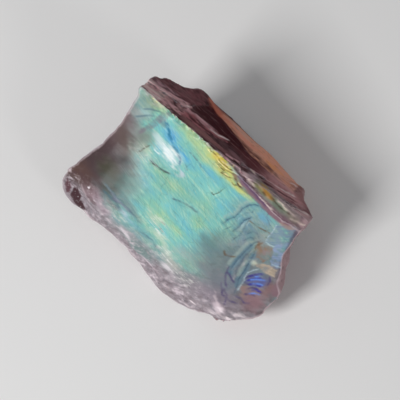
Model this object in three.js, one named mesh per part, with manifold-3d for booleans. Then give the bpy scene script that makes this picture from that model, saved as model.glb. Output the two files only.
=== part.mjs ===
// Rough rainbow moonstone: one broken piece of feldspar, lying on its flat underside.
// Millimetres, +Z up, origin under the middle of the stone.
//
// The stone is shaped in its own crystal axes: x runs along the ridge, y points out of the steep
// cleavage face and z points out of the broad sheen face, so the ridge is the line y = z = 0.
// Each broken face is the top of a large block, and the stone is what all the blocks have in
// common. Thin slabs (cleavage steps) and a shallow bowl (a conchoidal scar) are cut away, and the
// whole is tipped to the way it rests and cut flat underneath.

import * as THREE from 'three';
import { mergeVertices } from 'three/addons/utils/BufferGeometryUtils.js';
import Module from 'manifold-3d';

// How the stone rests
const RIDGE_PLUNGE = THREE.MathUtils.degToRad(10.9); // the ridge falls towards +X
const SHEEN_DIP = THREE.MathUtils.degToRad(35.4); // the sheen face falls away towards -Y
const BASE_DROP = 8.3; // from the middle of the ridge down to the flat underside

// Extents from the middle of the ridge
const LEFT_REACH = 3.9; // left end, along the ridge
const RIGHT_REACH = 9.6; // right end, along the ridge
const SHEEN_WIDTH = 9.1; // ridge to lower rim, down the sheen face
const CLEAVAGE_DEPTH = 6.5; // ridge to back rim, down the cleavage face

// Relief
const STEP_HEIGHT = 0.3; // front step of the cleavage face, at its left end
const TROUGH_DEPTH = 0.34; // hollow in the sheen face below the ridge
const BULGE_HEIGHT = 0.16; // swelling of the sheen face above its lower rim
const BACK_SLOPE = 0.14; // fall of the weathered facet along the cleavage face's back rim
const RIM_DROP = 1.0; // how far the lower rim has worn back
const SHOULDER_DROP = 0.75; // how far the sheen face falls away at its left end
const NOTCH_DEPTH = 0.09; // groove that crosses the ridge near its left end
const BLOCK_THICKNESS = 40; // every block is thicker than the stone
const SKIRT = 30; // and its outermost cells are stretched until it is wider than the stone
const BOWL_SPREAD = 2 / Math.sqrt(3); // a bowl sunk to half its height is that much wider below

// Edges of the broken faces, as [place along the edge, how far it stands out there].
const LEFT_END = [[-9, 0.9], [-8.4, 0.85], [-6.8, 0.2], [-4.6, -0.12], [-2.6, -0.38], [-1, -0.1], [0, 0.25]];
const RIGHT_END = [[-8.8, -0.4], [-7.9, 0.7], [-7, 1.2], [-5, 1.35], [-4, 0.65], [-2.2, -0.22], [0, -0.25]];
const LOWER_RIM = [[-4, 0.5], [-1, 0.35], [0.8, 0.15], [4.8, 0.92], [6.8, 0.78], [8.9, -0.12], [11, -2.4]];
const BACK_RIM = [[-3, -0.5], [-1.4, 0.12], [-0.2, 0.62], [3, 0.65], [5.7, 0.42], [8, -0.1]];

// Where the weathered back facet starts, as [place along the ridge, depth behind it].
const BACK_FACET = [[-4, 3.6], [-0.8, 3.1], [1.6, 4.2], [4, 3.7], [6.3, 3.3], [9, 2.2]];

const MATERIAL = new THREE.MeshStandardMaterial({
  name: 'moonstone',
  color: 0xa9bcb6,
  roughness: 0.32,
  metalness: 0,
});

const { smoothstep, lerp } = THREE.MathUtils;

// A smooth curve through a list of [place, value] pairs, level past both ends.
function curveThrough(pairs, place) {
  if (place <= pairs[0][0]) return pairs[0][1];
  for (let i = 1; i < pairs.length; i += 1) {
    const [x0, y0] = pairs[i - 1];
    const [x1, y1] = pairs[i];
    if (place <= x1) return lerp(y0, y1, smoothstep(place, x0, x1));
  }
  return pairs[pairs.length - 1][1];
}

// A repeatable number from 0 to 1 for each point of a whole-number grid.
function gridValue(i, j, seed) {
  let bits = Math.imul(i, 374761393) ^ Math.imul(j, 668265263) ^ Math.imul(seed, 144269504);
  bits = Math.imul(bits ^ (bits >>> 13), 1274126177);
  return ((bits ^ (bits >>> 16)) >>> 0) / 4294967296;
}

// Smooth noise from -1 to 1 whose lumps are one unit across.
function lumps(x, y, seed) {
  const i = Math.floor(x);
  const j = Math.floor(y);
  const fx = smoothstep(x - i, 0, 1);
  const fy = smoothstep(y - j, 0, 1);
  const near = lerp(gridValue(i, j, seed), gridValue(i + 1, j, seed), fx);
  const far = lerp(gridValue(i, j + 1, seed), gridValue(i + 1, j + 1, seed), fx);
  return lerp(near, far, fy) * 2 - 1;
}

// Broken-stone relief: lumps of a size, with others a third as big and a third as high on them.
function brokenRelief(x, y, size, height, seed) {
  const large = lumps(x / size, y / size, seed);
  const small = lumps((3 * x) / size, (3 * y) / size, seed + 1);
  return height * (large + small / 3);
}

// 1 at the middle of a hump and 0 past its half-width.
function hump(place, middle, halfWidth) {
  return 1 - smoothstep(Math.abs(place - middle), 0, halfWidth);
}

// The sheen face: x along the ridge, y down the face as a negative number.
function sheenRelief(x, y) {
  const down = -y;
  const trough = -TROUGH_DEPTH * hump(down, 2.4, 2.4) * smoothstep(x, -3, 1);
  const bulge = BULGE_HEIGHT * hump(down, 6.6, 2.4);
  const rim = -RIM_DROP * Math.pow(Math.max(0, (down - 7) / 2.4), 1.8);
  const shoulder = -SHOULDER_DROP * Math.pow(Math.max(0, (0.6 - x) / 4.4), 1.6) * smoothstep(down, 0.3, 4);
  const notch = -NOTCH_DEPTH * hump(x, -1.8, 0.9) * (1 - smoothstep(down, 2, 4));
  const frosted = smoothstep(down, 6.4, 8.6);
  return trough + bulge + rim + shoulder + notch + brokenRelief(x, y, 2.2, 0.04 + 0.1 * frosted, 3);
}

// The cleavage face: x along the ridge, depth behind the ridge.
function cleavageRelief(x, depth) {
  const step = STEP_HEIGHT * (1 - smoothstep(x, -2.5, 4));
  const backFacet = -BACK_SLOPE * Math.max(0, depth - curveThrough(BACK_FACET, x));
  return step + backFacet + brokenRelief(x, depth, 2.6, 0.05, 11);
}

// The blocks. Each has a point of its face, the face's outward direction, the direction that
// its first measure runs in, and the reach of both measures.
const BLOCKS = [
  {
    point: [0, 0, 0],
    out: [0, 0, 1],
    along: [1, 0, 0],
    reach: [[-5, 12.5], [-11, 1.4]],
    cell: 0.3,
    relief: sheenRelief,
  },
  {
    point: [0, 0, 0],
    out: [0, 1, 0],
    along: [1, 0, 0],
    reach: [[-5.4, 12], [-1.4, 9.5]],
    cell: 0.38,
    relief: cleavageRelief,
  },
  {
    // bevel where the ridge is broken off towards the right end
    point: [2.5, 0, 0],
    out: [0.106, 0.703, 0.703],
    along: [1, 0, 0],
    reach: [[-4, 10], [-3, 3]],
    cell: 0.4,
    relief: (x, y) => brokenRelief(x, y, 1.2, 0.04, 23),
  },
  {
    // gentle facet in the sheen face's right-hand corner
    point: [8.3, -2.4, -0.12],
    out: [0.24, 0.02, 0.97],
    along: [1, 0, 0],
    reach: [[-1.5, 3.5], [-7, 3]],
    cell: 0.4,
    relief: (x, y) => brokenRelief(x, y, 1.4, 0.03, 29),
  },
  {
    // left end, undercut a little
    point: [-LEFT_REACH, 0, 0],
    out: [-0.988, 0, -0.156],
    along: [0, 1, 0],
    reach: [[-11, 2], [-2, 10]],
    cell: 0.45,
    relief: (y, depth) => curveThrough(LEFT_END, y) + brokenRelief(y, depth, 2.4, 0.17, 31),
  },
  {
    // corner between the left end and the back
    point: [-3.3, 0, -3.5],
    out: [-0.78, -0.04, -0.61],
    along: [0, 1, 0],
    reach: [[-11, 2], [-8, 8]],
    cell: 0.5,
    relief: (y, depth) => brokenRelief(y, depth, 2.4, 0.2, 37),
  },
  {
    // chip off the lower left tip
    point: [-2.5, -8, -0.62],
    out: [-0.27, -0.65, 0.71],
    along: [1, 0, 0],
    reach: [[-5, 5], [-5, 5]],
    cell: 0.45,
    relief: (x, y) => brokenRelief(x, y, 1, 0.06, 41),
  },
  {
    // right end
    point: [RIGHT_REACH, 0, 0],
    out: [1, 0, 0.02],
    along: [0, 1, 0],
    reach: [[-11, 2], [-9, 3]],
    cell: 0.42,
    relief: (y, z) => curveThrough(RIGHT_END, y) + brokenRelief(y, z, 1.8, 0.1, 43),
  },
  {
    // worn edge between the sheen face and the right end
    point: [RIGHT_REACH + 0.35, -5, 0],
    out: [0.66, 0, 0.75],
    along: [0, 1, 0],
    reach: [[-7, 7], [-4, 4]],
    cell: 0.45,
    relief: (y, z) => 0.5 * curveThrough(RIGHT_END, y - 5) - 0.45 + brokenRelief(y, z, 1, 0.07, 47),
  },
  {
    // corner between the right end and the back
    point: [8.72, 0, -3.4],
    out: [0.85, 0.1, -0.52],
    along: [0, 1, 0],
    reach: [[-11, 2], [-8, 8]],
    cell: 0.5,
    relief: (y, z) => brokenRelief(y, z, 2, 0.16, 53),
  },
  {
    // lower side, under the worn rim
    point: [0, -SHEEN_WIDTH, 0],
    out: [0, -0.995, -0.1],
    along: [1, 0, 0],
    reach: [[-6, 13], [-9, 2]],
    cell: 0.45,
    relief: (x, z) => curveThrough(LOWER_RIM, x) + brokenRelief(x, z, 2.1, 0.18, 59),
  },
  {
    // back
    point: [0, 0, -CLEAVAGE_DEPTH - 0.4],
    out: [0.1, 0.42, -0.9],
    along: [1, 0, 0],
    reach: [[-6, 13], [-2.5, 11]],
    cell: 0.45,
    relief: (x, y) => curveThrough(BACK_RIM, x) + brokenRelief(x, y, 2.3, 0.16, 61),
  },
];

// A right-handed turn that stands a block's top on its outward direction.
function faceAxes({ out, along }) {
  const z = new THREE.Vector3(...out).normalize();
  const y = new THREE.Vector3().crossVectors(z, new THREE.Vector3(...along)).normalize();
  const x = new THREE.Vector3().crossVectors(y, z);
  return new THREE.Matrix4().makeBasis(x, y, z);
}

// How far a block's own edge is pushed out: nothing for the points in between.
function skirtShift(place, start, end) {
  if (place > end - 1e-4) return SKIRT;
  return place < start + 1e-4 ? -SKIRT : 0;
}

// A block whose top is the broken face: a box divided into cells, its top raised by the relief.
function faceBlock(block) {
  const [[left, right], [low, high]] = block.reach;
  const columns = Math.ceil((right - left) / block.cell);
  const rows = Math.ceil((high - low) / block.cell);
  const box = new THREE.BoxGeometry(right - left, high - low, BLOCK_THICKNESS, columns, rows, 1);
  box.translate((left + right) / 2, (low + high) / 2, -BLOCK_THICKNESS / 2);
  const corners = box.attributes.position;
  for (let i = 0; i < corners.count; i += 1) {
    const [x, y, z] = [corners.getX(i), corners.getY(i), corners.getZ(i)];
    const height = z > -BLOCK_THICKNESS / 2 ? block.relief(x, y) : z;
    corners.setXYZ(i, x + skirtShift(x, left, right), y + skirtShift(y, low, high), height);
  }
  box.applyMatrix4(faceAxes(block).setPosition(...block.point));
  return box;
}

// Cleavage steps: slabs taken off the cleavage face. The riser runs from one [x, depth] to
// another, and the stone beside it is cut down to the floor, as far as the slab reaches.
const STEPS = [
  { from: [-5, 0.6], to: [2.6, 2.75], reach: 3.2, floor: 0.02 },
  { from: [-0.9, 1.6], to: [-0.5, 4.9], reach: 3.6, floor: 0.17 },
  { from: [3.7, 1.3], to: [8.2, 3], reach: 1.3, floor: -0.14 },
  { from: [5.4, 2.6], to: [9.4, 3.9], reach: 1.6, floor: -0.1 },
];

function stepSlab({ from, to, reach, floor }) {
  const length = Math.hypot(to[0] - from[0], to[1] - from[1]);
  const turn = Math.atan2(to[1] - from[1], to[0] - from[0]);
  const slab = new THREE.BoxGeometry(length, 2, reach);
  slab.translate(length / 2, 1, reach / 2);
  slab.rotateY(turn);
  slab.translate(from[0], floor, -from[1]);
  return slab;
}

// Conchoidal scar: a very shallow bowl taken out of the sheen face, near its lower right.
const SCAR = { at: [8.7, -5.6], radius: [1.9, 1.3], depth: 0.09, turn: 0.5 };

function scarBowl({ at, radius, depth, turn }) {
  const bowl = new THREE.SphereGeometry(1, 24, 14);
  const [x, y] = at;
  bowl.scale(radius[0] * BOWL_SPREAD, radius[1] * BOWL_SPREAD, depth * 2);
  bowl.rotateZ(turn);
  bowl.translate(x, y, depth + sheenRelief(x, y));
  return bowl;
}

// Everything below the flat underside, in resting axes.
function underside() {
  const slab = new THREE.BoxGeometry(60, 60, 20);
  slab.translate(0, 0, -10 - BASE_DROP);
  return slab;
}

const wasm = await Module();
wasm.setup();

function toSolid(geometry) {
  const bare = geometry.clone();
  bare.deleteAttribute('normal');
  bare.deleteAttribute('uv');
  const merged = mergeVertices(bare, 1e-5);
  const vertProperties = new Float32Array(merged.attributes.position.array);
  const triVerts = new Uint32Array(merged.index.array);
  return new wasm.Manifold(new wasm.Mesh({ numProp: 3, vertProperties, triVerts }));
}

function toGeometry(solid) {
  const mesh = solid.getMesh();
  const geometry = new THREE.BufferGeometry();
  geometry.setAttribute('position', new THREE.BufferAttribute(mesh.vertProperties, 3));
  geometry.setIndex(new THREE.BufferAttribute(mesh.triVerts, 1));
  return geometry;
}

// The stone as it rests, with the middle of its ridge at the origin.
function moonstoneGeometry() {
  const blocks = BLOCKS.map((block) => toSolid(faceBlock(block)));
  let solid = blocks.reduce((common, block) => common.intersect(block));
  for (const cut of [...STEPS.map(stepSlab), scarBowl(SCAR)]) solid = solid.subtract(toSolid(cut));

  const resting = toGeometry(solid);
  resting.rotateX(SHEEN_DIP);
  resting.rotateY(RIDGE_PLUNGE);
  const stone = toGeometry(toSolid(resting).subtract(toSolid(underside())));
  stone.computeVertexNormals();
  stone.computeBoundingBox();
  return stone;
}

const moonstone = new THREE.Mesh(moonstoneGeometry(), MATERIAL);
moonstone.name = 'moonstone';
const middle = moonstone.geometry.boundingBox.getCenter(new THREE.Vector3());
moonstone.position.set(-middle.x, -middle.y, BASE_DROP);

const part = new THREE.Group();
part.name = 'rough_rainbow_moonstone';
part.add(moonstone);

export default part;
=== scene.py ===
# %% [markdown]
# # A rough piece of rainbow moonstone
# Rainbow moonstone is a clear, colourless feldspar. What makes it a gem is a sheen that floats
# just under one of its faces: blue, turquoise, green, and gold where the layers inside it are
# thickest. This piece has never been cut. Every side of it is a break, so it is modelled as
# broken faces, and its sheen is painted into a procedural material.
#
# The solid that carries the stone's size and weight is loaded first. Everything below is made
# around it, in metres.

# %% Load the solid
import math

import bpy
import numpy as np
from mathutils import Euler, Matrix, Vector, noise


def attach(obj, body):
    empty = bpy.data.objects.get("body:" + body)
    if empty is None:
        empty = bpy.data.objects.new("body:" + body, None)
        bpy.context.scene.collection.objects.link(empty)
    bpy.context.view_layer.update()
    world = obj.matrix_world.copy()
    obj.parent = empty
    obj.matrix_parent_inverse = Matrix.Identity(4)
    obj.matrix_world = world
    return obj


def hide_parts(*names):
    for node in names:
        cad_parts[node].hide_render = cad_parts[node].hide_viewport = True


MM = 0.001

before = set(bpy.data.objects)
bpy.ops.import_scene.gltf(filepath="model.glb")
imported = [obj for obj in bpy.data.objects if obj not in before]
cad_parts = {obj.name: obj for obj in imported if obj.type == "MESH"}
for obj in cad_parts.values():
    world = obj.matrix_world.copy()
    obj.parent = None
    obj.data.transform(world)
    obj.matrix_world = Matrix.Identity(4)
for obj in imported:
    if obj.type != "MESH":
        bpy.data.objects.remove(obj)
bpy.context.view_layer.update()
bpy.ops.object.select_all(action="DESELECT")

# %% [markdown]
# ## Crystal axes
# A feldspar breaks along its own planes, which have nothing to do with the floor it lies on.
# So all places are given along three crystal axes: along the ridge, out of the steep cleavage
# face, and out of the broad sheen face. The middle of the ridge is their origin.

# %% Crystal axes
RIDGE_PLUNGE = math.radians(10.9)
SHEEN_DIP = math.radians(35.4)
RIDGE_MIDDLE = Vector((-2.309, 1.562, 8.3)) * MM
CRYSTAL_TURN = Euler((SHEEN_DIP, RIDGE_PLUNGE, 0))
CRYSTAL_AXES = CRYSTAL_TURN.to_matrix()


def to_crystal(places):
    """Turns places in metres into mm along the crystal axes."""
    return (places - np.array(RIDGE_MIDDLE)) @ np.array(CRYSTAL_AXES) / MM


def to_stone(along, cleavage, sheen):
    """Turns mm along the crystal axes into a place in metres."""
    return RIDGE_MIDDLE + CRYSTAL_AXES @ Vector((along, cleavage, sheen)) * MM


print("ridge ends:", to_stone(-3.9, 0, 0), to_stone(9.4, 0, 0))

# %% [markdown]
# ## A skin to carve
# The solid is made of long thin triangles, which can't take fine relief. A voxel remesh of a
# copy lays a net of small, even squares over the same shape, as a sculptor would start with.
# A light smoothing then takes out the solid's triangles, and the last sharpness of its edges.

# %% Copy and remesh
SKIN_CELL = 0.08 * MM
MERGE_WITHIN = 0.001 * MM


def add_object(name, data):
    """Makes an object and puts it in the scene."""
    made = bpy.data.objects.new(name, data)
    bpy.context.scene.collection.objects.link(made)
    return made


def edit(operator, **settings):
    """Runs an operator on the stone in Edit Mode."""
    bpy.ops.object.mode_set(mode="EDIT")
    operator(**settings)
    bpy.ops.object.mode_set(mode="OBJECT")


def finish_with(kind, **settings):
    """Adds a modifier to the stone, sets it and applies it."""
    modifier = stone.modifiers.new(kind.lower(), kind)
    for name, value in settings.items():
        setattr(modifier, name, value)
    bpy.ops.object.modifier_apply(modifier=modifier.name)


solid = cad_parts["moonstone"]
stone = add_object("moonstone_skin", solid.data.copy())
stone.select_set(True)
bpy.context.view_layer.objects.active = stone
edit(bpy.ops.mesh.select_all, action="SELECT")
edit(bpy.ops.mesh.remove_doubles, threshold=MERGE_WITHIN)
finish_with("REMESH", mode="VOXEL", voxel_size=SKIN_CELL)
finish_with("SMOOTH", factor=0.5, iterations=5)
print("skin:", len(stone.data.vertices), "points", len(stone.data.polygons), "faces")

# %% [markdown]
# ## A few soft pulls
# The corners of a broken stone are worn, and its edges bulge a little between them. Moving one
# point with proportional editing takes its surroundings along, less and less with distance,
# which is how a lump of clay is nudged. Each pull is a place, a move and a reach.

# %% Pulls: place, move and reach in mm, as (along the ridge, down the face, depth)
PULLS = [
    ((-3.9, 8.8, 1.9), (-0.16, 0.3, 0), 2),
    ((-4.3, 8, 1.5), (0.26, 0.1, 0), 1),
    ((-2.9, 9.3, 1.8), (0, 0.26, 0), 1.6),
    ((-1.5, 9.4, 1.5), (0, 0.16, 0), 1.2),
    ((5.2, 9.95, 1.5), (0, 0.19, -0.135), 2.4),
    ((10.4, 7.5, 1), (0.04, 0.14, -0.04), 1.4),
    ((8.8, 8.85, 0.8), (0.05, 0.16, 0), 1.3),
    ((10.5, 4.4, 1.5), (0.2, -0.16, 0), 1.2),
    ((10.1, 3.4, 1.3), (-0.14, 0.08, 0), 0.8),
    ((9.3, 1, 0.9), (-0.12, 0.08, 0), 0.8),
    ((7.7, 0.3, 5.1), (0.15, -0.28, 0), 1.3),
    ((-1, 0.15, 6.2), (-0.1, -0.42, 0), 2),
    ((4.6, 0.2, 6.3), (0, -0.1, 0.05), 1.8),
    ((-3.6, -0.3, 3.1), (0.1, 0.14, 0), 0.9),
]


def pull(place, move, reach):
    """Moves the point nearest to a place, and its surroundings with it."""
    along, down, depth = place
    target = to_stone(along, -down, -depth)
    nearest = min(stone.data.vertices, key=lambda point: (point.co - target).length_squared)
    nearest.select = True
    across, downwards, inwards = move
    edit(
        bpy.ops.transform.translate,
        value=CRYSTAL_AXES @ Vector((across, -downwards, -inwards)) * MM,
        use_proportional_edit=True, proportional_edit_falloff="SMOOTH",
        proportional_size=reach * MM, use_proportional_connected=False,
    )
    edit(bpy.ops.mesh.select_all, action="DESELECT")


bpy.context.tool_settings.mesh_select_mode = (True, False, False)
edit(bpy.ops.mesh.select_all, action="DESELECT")
for place, move, reach in PULLS:
    pull(place, move, reach)
print(len(PULLS), "pulls")

# %% [markdown]
# ## Which face is which
# The sheen face, the cleavage face, the bevel and the hidden breaks each get their own relief
# and their own look. A point belongs to a face when its normal points the way that the face
# does, so every point gets a weight from 0 to 1 for each face.

# %% Weights of the faces
BEVEL_OUT = (0.106, 0.703, 0.703)
BEVEL_SLOPE = 0.36


def read_points(what):
    """The stone's points or their normals, as rows of three numbers."""
    numbers = np.empty(len(stone.data.vertices) * 3, np.float32)
    stone.data.vertices.foreach_get(what, numbers)
    return numbers.reshape(-1, 3).astype(float)


def ramp(values, start, end):
    """0 before start and 1 after end, smooth in between. Start may be the larger one."""
    share = np.clip((values - start) / (end - start), 0, 1)
    return share * share * (3 - 2 * share)


def facing(direction):
    """How squarely each point faces a direction along the crystal axes."""
    return normals @ (np.array(direction) / np.linalg.norm(direction))


normals = read_points("normal") @ np.array(CRYSTAL_AXES)
along, cleavage, sheen = to_crystal(read_points("co")).T
down = -cleavage
depth = -sheen
height = read_points("co")[:, 2] / MM

sheen_face = ramp(facing((0, -0.15, 1)), 0.62, 0.86) * ramp(depth - 0.3 * down, 0.7, 0.4)
bevel = ramp(facing(BEVEL_OUT), 0.86, 0.93) * ramp(along, 1.8, 2.6) * ramp(depth, 3, 2)
step_front = ramp(facing((0, 1, 0.6)), 0.6, 0.78) * ramp(depth, 0.2, 0.45)
cleavage_face = np.maximum(ramp(facing((0, 1, 0)), 0.6, 0.78), step_front)
cleavage_face *= ramp(down, 1.6, 1.2) * (1 - bevel)
bevel_zone = ramp(down - BEVEL_SLOPE * depth, -0.7, -0.45)
bevel_zone *= cleavage_face * ramp(along, 4.2, 5) * ramp(down, 1.6, 1.2)
bevel_zone = np.maximum(bevel, bevel_zone)
back_rim = ramp(facing((0, 1, -1.4)), 0.2, 0.45) * ramp(depth, 3.6, 4.6) * ramp(down, 1.8, 1.2)
back_rim *= ramp(depth, 8, 6.6)
hidden_break = np.clip(1 - sheen_face - cleavage_face - bevel, 0, 1)
behind_face = np.maximum(ramp(depth, 0.2, 1.6), ramp(down, 7, 8))
off_floor = ramp(height, 0.02, 0.5)
rim = ramp(down, 6.6, 8.2) * sheen_face
print("sheen face", round(sheen_face.mean(), 3), "cleavage face", round(cleavage_face.mean(), 3))
print("hidden breaks", round(hidden_break.mean(), 3), "of the points")

# %% Groups for the modifiers, attributes for the material
WEIGHT_LEVELS = 40


def paint_group(name, weight):
    """Makes a vertex group of a weight for each point, for a modifier to read."""
    group = stone.vertex_groups.new(name=name)
    level = np.round(np.clip(weight * off_floor, 0, 1) * WEIGHT_LEVELS).astype(int)
    for step in range(1, WEIGHT_LEVELS + 1):
        members = np.nonzero(level == step)[0]
        if len(members):
            group.add(members.tolist(), step / WEIGHT_LEVELS, "REPLACE")


def sink(name, weight, cut):
    """Sinks the stone by a cut in mm where the weight is 1, and by less where it is lower."""
    paint_group(name, weight)
    finish_with("DISPLACE", vertex_group=name, strength=-cut * MM, mid_level=0)


def keep(name, values):
    """Keeps a number or a colour for each point, for the material to read."""
    kind, field = ("FLOAT", "value") if values.ndim == 1 else ("FLOAT_COLOR", "color")
    attribute = stone.data.attributes.new(name, kind, "POINT")
    attribute.data.foreach_set(field, values.astype(np.float32).ravel())


fringe = 0.45 * ramp(down, 0.35, 0) * ramp(depth, 0.6, 0.3) * sheen_face
fringe *= ramp(along, -2.4, -1.4) * ramp(along, 4.4, 4)
keep("sheen_face", sheen_face)
keep("cleavage_face", np.maximum(cleavage_face, fringe))
keep("bevel_zone", bevel_zone)
print("fringe of the ridge:", int((fringe > 0.2).sum()), "points")

# %% [markdown]
# ## Relief
# Each kind of break has its own grain. The sheen face is nearly flat, with fine striations at
# a small angle to the ridge. The worn rim is lumpy, and the breaks that follow no plane are
# hackly, with shell-like hollows. Each is a Displace modifier whose texture is stretched along
# the crystal axes by an empty, and it acts only where its group has weight. With a middle
# level of 1 it only cuts inwards, as chips do. With a lower one it also raises the stone
# between the hollows, by a tenth of a millimetre or so at most.

# %% A relief
STRIATION_TURN = math.radians(-8)
HATCHING_TURN = math.radians(-32)
PLAIN = {"noise_scale": 1, "noise_depth": 2}
SHELLS = {"noise_basis": "VORONOI_F1", "noise_depth": 0}


def relief(name, weight, cut, grain, turn=0, mid=1, **settings):
    """Displaces the stone by a cloudy texture whose grain is given in mm."""
    paint_group(name, weight)
    texture = bpy.data.textures.new(name, "CLOUDS")
    for setting, value in {**PLAIN, **settings}.items():
        setattr(texture, setting, value)
    axes = add_object(name + "_axes", None)
    turned = CRYSTAL_AXES.to_4x4() @ Matrix.Rotation(turn, 4, "Z")
    size = Matrix.Diagonal((*(length * MM for length in grain), 1))
    axes.matrix_world = Matrix.Translation(RIDGE_MIDDLE) @ turned @ size
    bpy.context.view_layer.update()
    finish_with(
        "DISPLACE", texture=texture, texture_coords="OBJECT", texture_coords_object=axes,
        vertex_group=name, strength=cut * MM, mid_level=mid,
    )
    bpy.data.objects.remove(axes)
    bpy.data.textures.remove(texture)
    print(name, "up to", cut, "mm")


# %% Hidden breaks and rim
left_tip = ramp(along, -1.4, -2.8) * ramp(down, 7.4, 8.4) * ramp(depth, 4, 3)
smoother_tip = 1 - 0.7 * left_tip
broken_side = hidden_break * behind_face * (1 - 0.8 * left_tip)
lumpy = np.maximum(rim, 0.7 * hidden_break * ramp(down, 6, 8)) * smoother_tip
relief("shell_hollows", broken_side, 0.34, (2.6, 2.2, 2), mid=0.6, **SHELLS)
relief("stair_breaks", broken_side, 0.16, (2.6, 0.6, 0.9), mid=0.5, noise_type="HARD_NOISE")
relief("rim_lumps", lumpy, 0.3, (1.5, 1, 0.9), mid=0.6, noise_depth=1)
paint_group("broken", np.maximum(hidden_break, rim))
finish_with("SMOOTH", factor=0.5, iterations=4, vertex_group="broken")
relief("hackles", hidden_break, 0.07, (0.5, 0.35, 0.35), mid=0.5)
relief("rim_frost", rim * smoother_tip, 0.09, (0.55, 0.4, 0.4), mid=0.5, noise_depth=3)

# %% Sheen face, cleavage face and bevel
ridge = ramp(np.hypot(down, depth), 0.4, 0.1) * ramp(along, -3.6, -3.2)
relief("striations", sheen_face * (1 - rim), 0.012, (2, 0.3, 0.3), turn=STRIATION_TURN)
relief("sheen_waves", sheen_face * ramp(along, 4, 7), 0.05, (1.3, 1, 1))
relief("cleavage_grain", cleavage_face, 0.015, (2.4, 0.5, 0.4))
relief("ridge_chips", ridge, 0.17, (0.5, 0.3, 0.3), mid=0.75, **SHELLS)
relief("bevel_chips", bevel, 0.1, (0.9, 0.4, 0.4), **SHELLS)

# %% [markdown]
# ## Cleavage ledges
# Feldspar cleaves in sheets, and where one sheet ends the face drops by a tiny straight ledge.
# A texture would space these too evenly, so each is drawn: a line across the cleavage face,
# behind which the stone drops and then slowly rises again.

# %% Ledges: drop, reach and line in mm, the line as (along the ridge, depth behind it)
LEDGES = [
    (0.09, 1.1, [(4.6, 1.15), (6, 0.95), (7, 0.9), (7.6, 1.05), (8.2, 1.4), (8.9, 2.4)]),
    (0.06, 1.5, [(3.8, 1.25), (4.4, 1.6), (5.2, 2.05), (6.5, 2.5), (7.5, 2.8), (8.2, 3.2)]),
    (0.05, 0.7, [(-1, 0.95), (1, 1.15), (3, 1), (4.2, 0.8)]),
    (0.02, 0.5, [(-3.7, 0.5), (-2, 0.75), (-0.5, 0.6)]),
    (0.04, 1.2, [(-0.6, 3.4), (1.5, 3.6), (3.5, 3.3), (4.8, 3)]),
    (0.04, 1.5, [(-3.4, 3), (-2.2, 3.5), (-1.2, 3.4)]),
    (0.07, 0.8, [(6.4, 3.6), (7.3, 3.9), (7.9, 4.4)]),
    (0.06, 0.9, [(1.2, 5.2), (3, 5.1), (4.6, 5.4), (6, 5)]),
]
LEDGE_EDGE = 0.06


def ledge_weight(line, reach):
    """How far down a point lies behind a ledge: 1 at the ledge, fading over its reach."""
    places, depths = zip(*line)
    wander = 0.03 * np.sin(8 * along) + 0.015 * np.sin(21 * along)
    behind = depth - np.interp(along, places, depths) + wander
    ends = ramp(along, places[0], places[0] + 0.5) * ramp(along, places[-1], places[-1] - 0.5)
    return ramp(behind, -LEDGE_EDGE, LEDGE_EDGE) * ramp(behind, reach, 0.2 * reach) * ends


for count, (drop, reach, line) in enumerate(LEDGES):
    sink(f"ledge_{count}", ledge_weight(line, reach) * cleavage_face, drop)
print(len(LEDGES), "ledges")
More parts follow.
